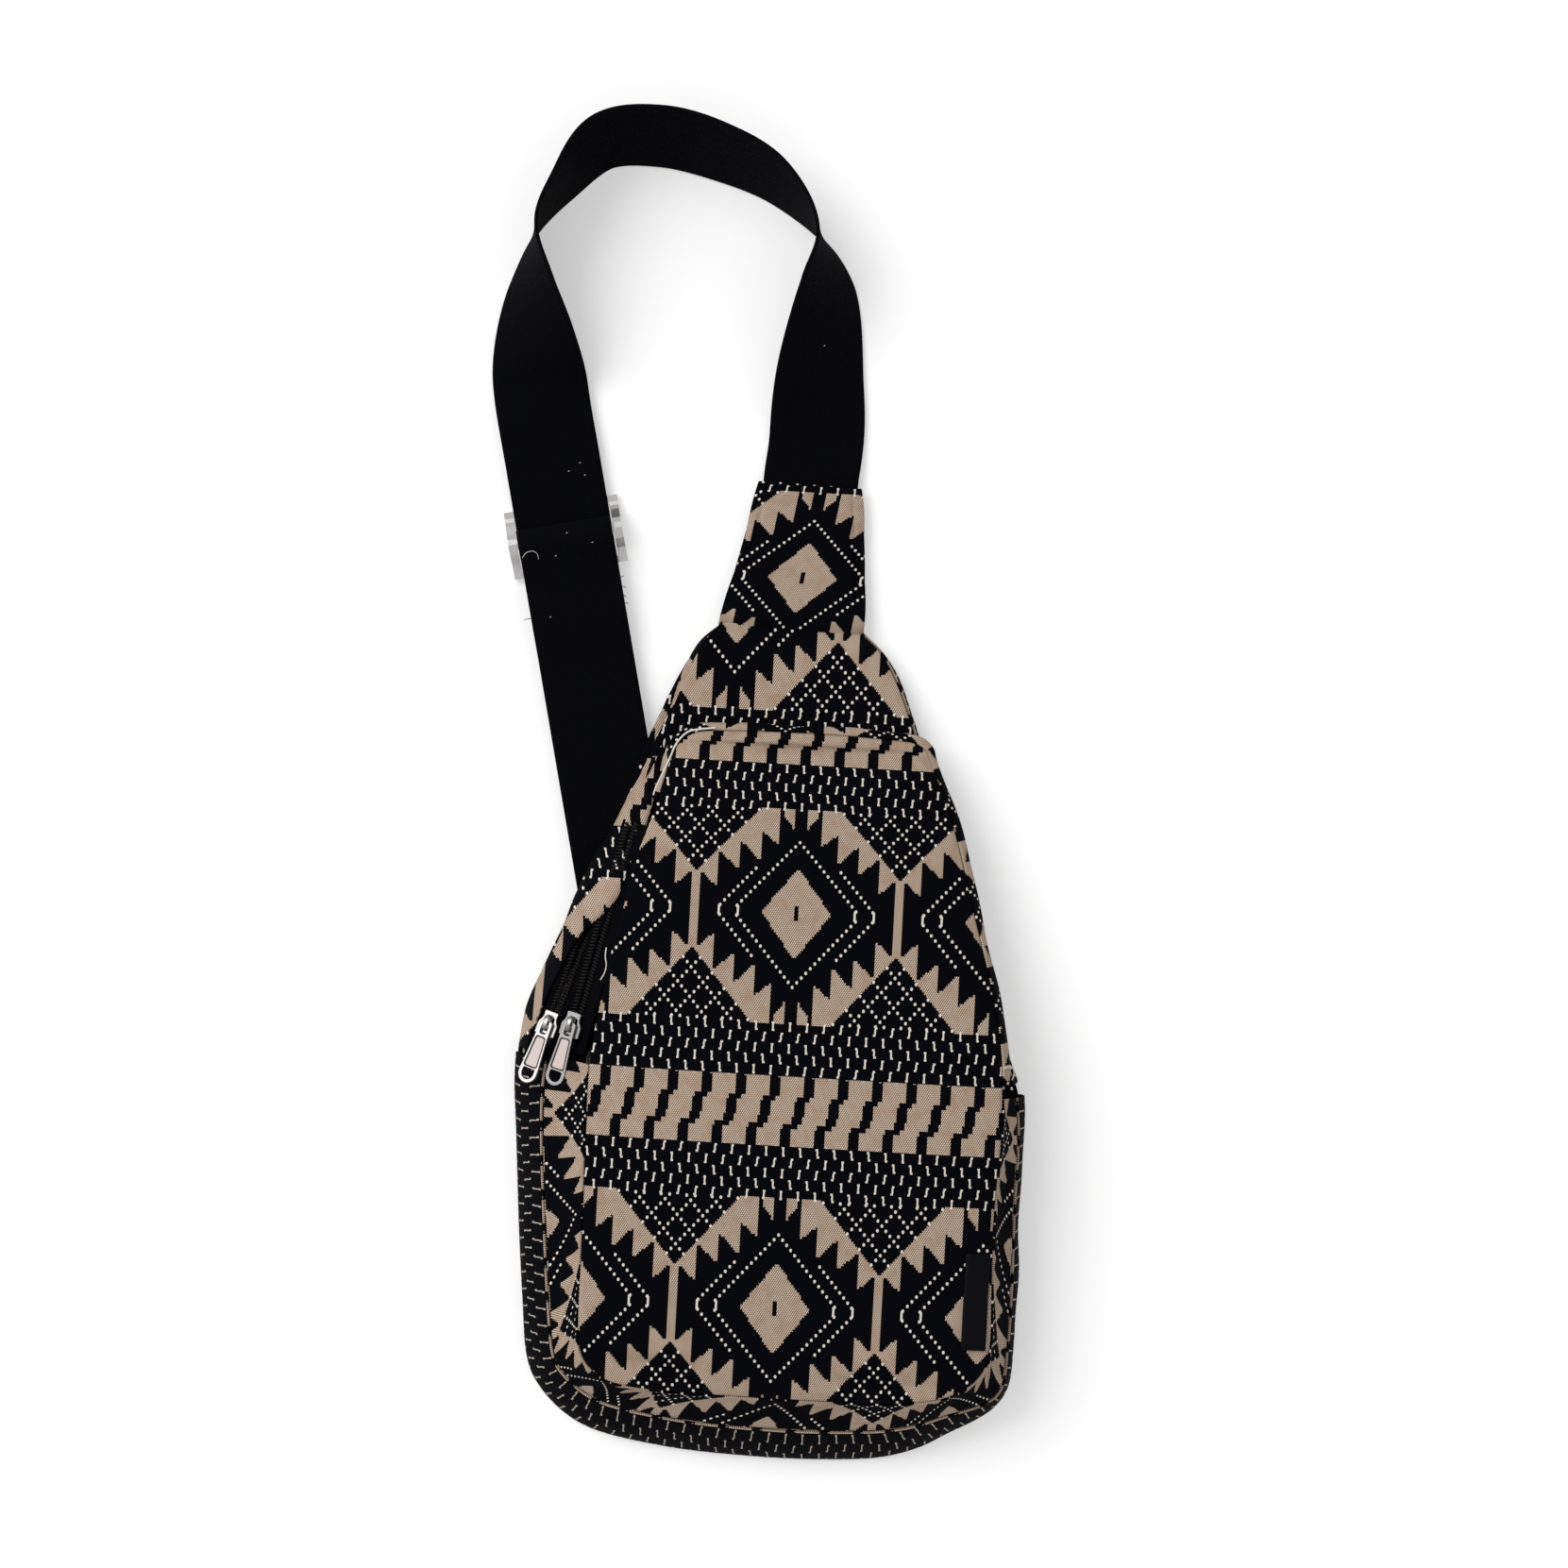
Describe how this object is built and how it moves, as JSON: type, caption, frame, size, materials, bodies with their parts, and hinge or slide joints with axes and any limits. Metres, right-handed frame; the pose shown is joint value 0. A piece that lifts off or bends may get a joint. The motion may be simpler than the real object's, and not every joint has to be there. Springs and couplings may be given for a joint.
{
  "type": "crossbody bag",
  "caption": "Soft teardrop sling bag in a woven pattern, with a raised zipped pocket and an adjustable webbing strap looped above it.",
  "frame": {"origin": "on the flat underside of the back panel, on the bag's centre line, 150 mm above its bottom edge", "axes": "+X across the bag to the wearer's left as seen from the front, +Y up the bag towards the neck and strap, +Z out of the front"},
  "size_m": [0.2295, 0.5334, 0.0453],
  "materials": {
    "jacquard": "woven, matte",
    "lining": "plain, matte",
    "webbing": "herringbone weave, matte",
    "zip_tape": "woven, matte",
    "zip_coil": "semi-matte nylon",
    "nickel": "polished nickel plate",
    "label_satin": "satin"
  },
  "bodies": {
    "bag": {"back_panel": "jacquard", "main_front_panel": "jacquard", "main_bottom_gusset": "jacquard", "main_side_gusset": "jacquard", "main_zip_strip": "jacquard", "pocket_front_panel": "jacquard", "pocket_bottom_gusset": "jacquard", "pocket_side_gusset": "jacquard", "neck_front": "jacquard", "neck_back": "jacquard", "main_lining_back": "lining", "main_lining_front": "lining", "strap": "webbing", "ring_tab": "webbing", "strap_ring": "nickel", "label": "label_satin", "main_zip_tape_outer": "zip_tape", "main_zip_coil_outer": "zip_coil", "main_zip_tape_inner": "zip_tape", "main_zip_coil_inner": "zip_coil", "main_zip_stop": "nickel", "pocket_zip_tape_outer": "zip_tape", "pocket_zip_coil_outer": "zip_coil", "pocket_zip_tape_inner": "zip_tape", "pocket_zip_coil_inner": "zip_coil", "pocket_zip_stop": "nickel"},
    "main_zip": {"main_zip_slider": "nickel"},
    "main_pull": {"main_zip_pull": "nickel"},
    "pocket_zip": {"pocket_zip_slider": "nickel"},
    "pocket_pull": {"pocket_zip_pull": "nickel"},
    "adjuster": {"strap_adjuster": "nickel", "strap_tail": "webbing"}
  },
  "joints": [
    {"name": "main_zip_run", "type": "slide", "parent": "bag", "child": "main_zip", "axis": [0.3002, 0.9522, -0.0571], "range_m": [0, 0.06]},
    {"name": "main_pull_swing", "type": "hinge", "parent": "main_zip", "child": "main_pull", "pos_m": [-0.09628, 0.02109, 0.02115], "axis": [-0.8785, 0.2527, -0.4055], "range_deg": [0, 150]},
    {"name": "pocket_zip_run", "type": "slide", "parent": "bag", "child": "pocket_zip", "axis": [0.2249, 0.9739, 0.0292], "range_m": [0, 0.065]},
    {"name": "pocket_pull_swing", "type": "hinge", "parent": "pocket_zip", "child": "pocket_pull", "pos_m": [-0.08689, 0.02123, 0.02515], "axis": [-0.8875, 0.2171, -0.4064], "range_deg": [0, 150]},
    {"name": "adjuster_slide", "type": "slide", "parent": "bag", "child": "adjuster", "axis": [-0.2218, 0.9751, 0], "range_m": [0, 0.025]}
  ]
}
